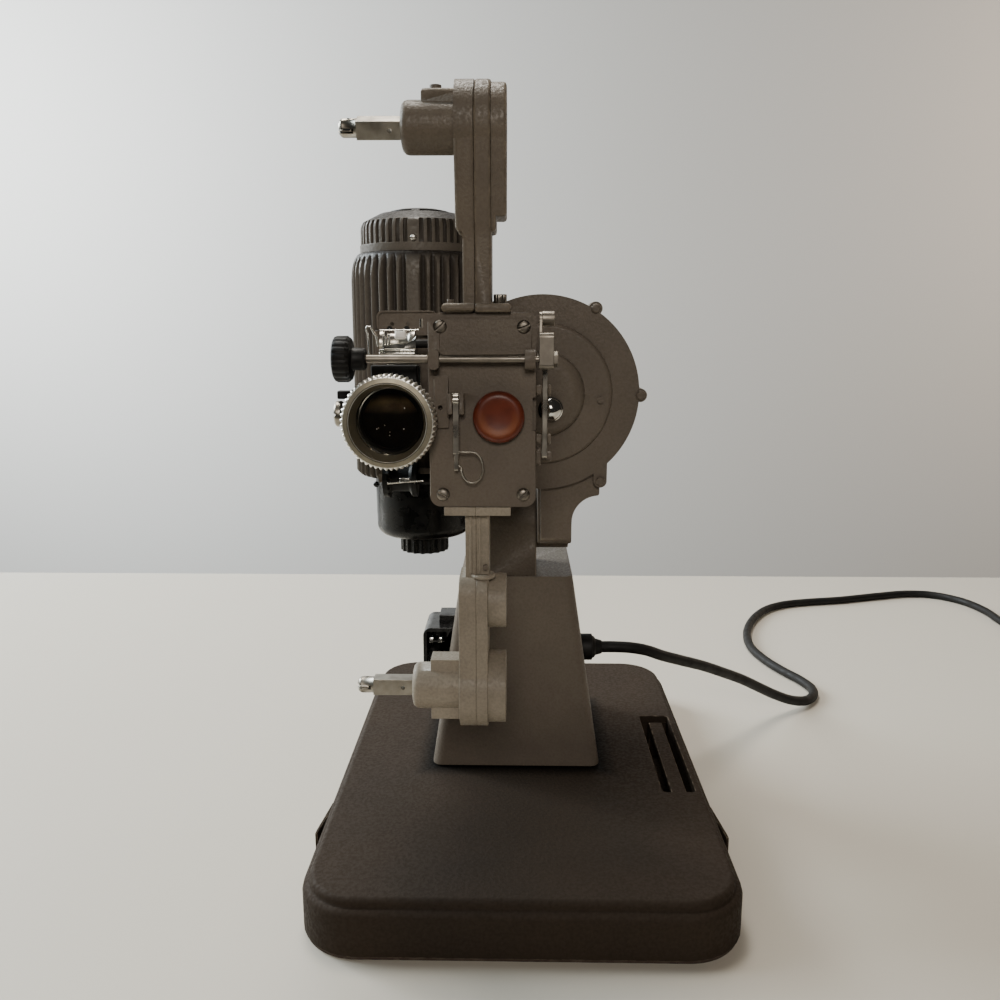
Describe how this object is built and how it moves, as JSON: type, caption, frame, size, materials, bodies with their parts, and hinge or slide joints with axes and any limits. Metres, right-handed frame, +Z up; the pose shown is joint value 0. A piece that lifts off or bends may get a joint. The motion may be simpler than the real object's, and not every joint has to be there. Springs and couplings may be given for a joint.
{
  "type": "movie projector",
  "caption": "Home movie projector on a flat base: tilting head with reel arms, finned lamp house, lens, gear case, blower and motor, and its mains lead",
  "frame": {"origin": "the base's underside, on the table, 2.5 mm to the right of its middle", "axes": "+X to the right of someone who faces the lens, +Y from the lens to the motor, +Z up from the table"},
  "size_m": [0.7336, 0.5867, 0.3965],
  "materials": {
    "base_paint": "dark brown enamel, worn along the edges",
    "fibre_board": "pressed fibre board",
    "hammer_paint": "grey-taupe crackle enamel on castings",
    "fin_paint": "grey enamel, dark in the grooves",
    "black_moulding": "black phenolic moulding",
    "plated_steel": "dull nickel-plated steel",
    "chrome": "polished chrome plate",
    "lens_metal": "knurled bright aluminium",
    "dark_metal": "blackened metal",
    "lens_glass": "clear glass",
    "red_jewel": "clear red-orange moulding",
    "cord_rubber": "black rubber"
  },
  "bodies": {
    "base": {"base_shell": "base_paint", "base_board": "fibre_board", "cover_hooks": "base_paint", "pedestal": "hammer_paint", "pedestal_bolts": "plated_steel", "switch_box": "black_moulding", "cord_gland": "cord_rubber", "mains_cord": "cord_rubber", "cord_coil": "cord_rubber", "cord_tie": "cord_rubber", "plug": "cord_rubber"},
    "handle": {"carry_handle": "base_paint"},
    "lamp_toggle": {"lamp_switch": "chrome"},
    "motor_toggle": {"motor_switch": "chrome"},
    "tilt_clamp": {"tilt_knob": "black_moulding"},
    "head": {"head_casting": "hammer_paint", "tilt_pin": "plated_steel", "fan_cover": "hammer_paint", "bearing_cap": "hammer_paint", "gear_case": "hammer_paint", "front_plate": "hammer_paint", "plate_screws": "plated_steel", "head_screws": "plated_steel", "jewel": "red_jewel", "motor_body": "hammer_paint", "motor_end_bell": "hammer_paint", "lens_holder": "black_moulding", "gate_plate": "plated_steel", "film_guides": "chrome", "condenser": "lens_glass", "lamp_house": "fin_paint", "lamp_cap": "fin_paint", "lamp_bowl": "black_moulding", "lamp_bulb": "lens_glass", "upper_arm_left": "hammer_paint", "upper_arm_right": "hammer_paint", "lower_arm_left": "hammer_paint", "lower_arm_right": "hammer_paint", "link_bracket": "hammer_paint"},
    "rotor": {"motor_shaft": "plated_steel", "blower_wheel": "plated_steel"},
    "shutter": {"shutter": "dark_metal"},
    "feed_sprocket": {"upper_sprocket": "chrome"},
    "takeup_sprocket": {"lower_sprocket": "chrome"},
    "feed_spindle": {"upper_spindle": "plated_steel"},
    "takeup_spindle": {"lower_spindle": "plated_steel"},
    "feed_latch": {"upper_latch": "chrome"},
    "takeup_latch": {"lower_latch": "chrome"},
    "lens": {"lens_barrel": "dark_metal", "lens_ring": "lens_metal", "front_glass": "lens_glass"},
    "focus": {"focus_knob": "chrome"},
    "pressure": {"pressure_plate": "chrome"},
    "control": {"control_knob": "black_moulding", "control_rod": "plated_steel"},
    "link": {"link_strip": "plated_steel"},
    "lever": {"threading_lever": "chrome"},
    "inching": {"inching_knob": "chrome"},
    "arm_screw": {"thumb_screw": "plated_steel"},
    "bowl_catch": {"bowl_knob": "black_moulding"}
  },
  "joints": [
    {"name": "handle_lift", "type": "slide", "parent": "base", "child": "handle", "axis": [0, 0, 1], "range_m": [0, 0.0175]},
    {"name": "lamp_toggle_turn", "type": "hinge", "parent": "base", "child": "lamp_toggle", "pos_m": [0, 0.008, 0.099], "axis": [1, 0, 0], "range_deg": [0, 48]},
    {"name": "motor_toggle_turn", "type": "hinge", "parent": "base", "child": "motor_toggle", "pos_m": [0, 0.008, 0.099], "axis": [1, 0, 0], "range_deg": [0, 48]},
    {"name": "tilt_clamp_turn", "type": "hinge", "parent": "base", "child": "tilt_clamp", "pos_m": [-0.014, 0.07, 0.128], "axis": [0, 1, 0], "range_deg": [-90, 90]},
    {"name": "head_tilt", "type": "hinge", "parent": "base", "child": "head", "pos_m": [0, 0.004, 0.178], "axis": [-1, 0, 0], "range_deg": [-3, 14]},
    {"name": "rotor_spin", "type": "hinge", "parent": "head", "child": "rotor", "pos_m": [0.0078, 0, 0.2574], "axis": [0, 1, 0], "continuous": true},
    {"name": "shutter_spin", "type": "hinge", "parent": "head", "child": "shutter", "pos_m": [-0.036, -0.082, 0.25185], "axis": [0, 1, 0], "continuous": true},
    {"name": "feed_sprocket_spin", "type": "hinge", "parent": "head", "child": "feed_sprocket", "pos_m": [-0.061, -0.102, 0.285], "axis": [1, 0, 0], "continuous": true},
    {"name": "takeup_sprocket_spin", "type": "hinge", "parent": "head", "child": "takeup_sprocket", "pos_m": [-0.061, -0.102, 0.221], "axis": [1, 0, 0], "continuous": true},
    {"name": "feed_spindle_spin", "type": "hinge", "parent": "head", "child": "feed_spindle", "pos_m": [-0.06, -0.115, 0.3772], "axis": [1, 0, 0], "continuous": true},
    {"name": "takeup_spindle_spin", "type": "hinge", "parent": "head", "child": "takeup_spindle", "pos_m": [-0.06, -0.111, 0.12], "axis": [1, 0, 0], "continuous": true},
    {"name": "feed_latch_turn", "type": "hinge", "parent": "feed_spindle", "child": "feed_latch", "pos_m": [-0.0784, -0.115, 0.3772], "axis": [0, -0.4695, 0.8829], "range_deg": [0, 90]},
    {"name": "takeup_latch_turn", "type": "hinge", "parent": "takeup_spindle", "child": "takeup_latch", "pos_m": [-0.0784, -0.111, 0.12], "axis": [0, 0, 1], "range_deg": [0, 90]},
    {"name": "lens_focus", "type": "slide", "parent": "head", "child": "lens", "axis": [0, -1, 0], "range_m": [-0.001, 0.006]},
    {"name": "focus_turn", "type": "hinge", "parent": "head", "child": "focus", "pos_m": [-0.08, -0.112, 0.2533], "axis": [1, 0, 0], "range_deg": [-14.5, 86.5]},
    {"name": "pressure_open", "type": "slide", "parent": "head", "child": "pressure", "axis": [0, -1, 0], "range_m": [0, 0.003], "stiffness_N_per_m": 150},
    {"name": "control_turn", "type": "hinge", "parent": "head", "child": "control", "pos_m": [-0.04, -0.13, 0.279], "axis": [1, 0, 0], "range_deg": [-15, 20]},
    {"name": "link_slide", "type": "slide", "parent": "head", "child": "link", "axis": [0, 0, 1], "range_m": [-0.0022, 0.0029]},
    {"name": "lever_swing", "type": "hinge", "parent": "head", "child": "lever", "pos_m": [-0.0326, -0.1296, 0.2612], "axis": [-1, 0, 0], "range_deg": [0, 45]},
    {"name": "inching_spin", "type": "hinge", "parent": "head", "child": "inching", "pos_m": [0.012, -0.057, 0.2502], "axis": [0, 1, 0], "continuous": true},
    {"name": "arm_screw_turn", "type": "hinge", "parent": "head", "child": "arm_screw", "pos_m": [-0.0132, -0.1184, 0.305], "axis": [0, 0, 1], "continuous": true},
    {"name": "bowl_catch_turn", "type": "hinge", "parent": "head", "child": "bowl_catch", "pos_m": [-0.0573, -0.034, 0.17], "axis": [0, 0, 1], "range_deg": [0, 90]}
  ],
  "couplings": [
    {"joint": "shutter_spin", "follows": "rotor_spin", "ratio": -0.5},
    {"joint": "feed_sprocket_spin", "follows": "rotor_spin", "ratio": 0.0625},
    {"joint": "takeup_sprocket_spin", "follows": "rotor_spin", "ratio": 0.0625},
    {"joint": "inching_spin", "follows": "rotor_spin", "ratio": -1},
    {"joint": "focus_turn", "follows": "lens_focus", "rad_per_m": 250},
    {"joint": "link_slide", "follows": "control_turn", "m_per_rad": 0.008}
  ]
}
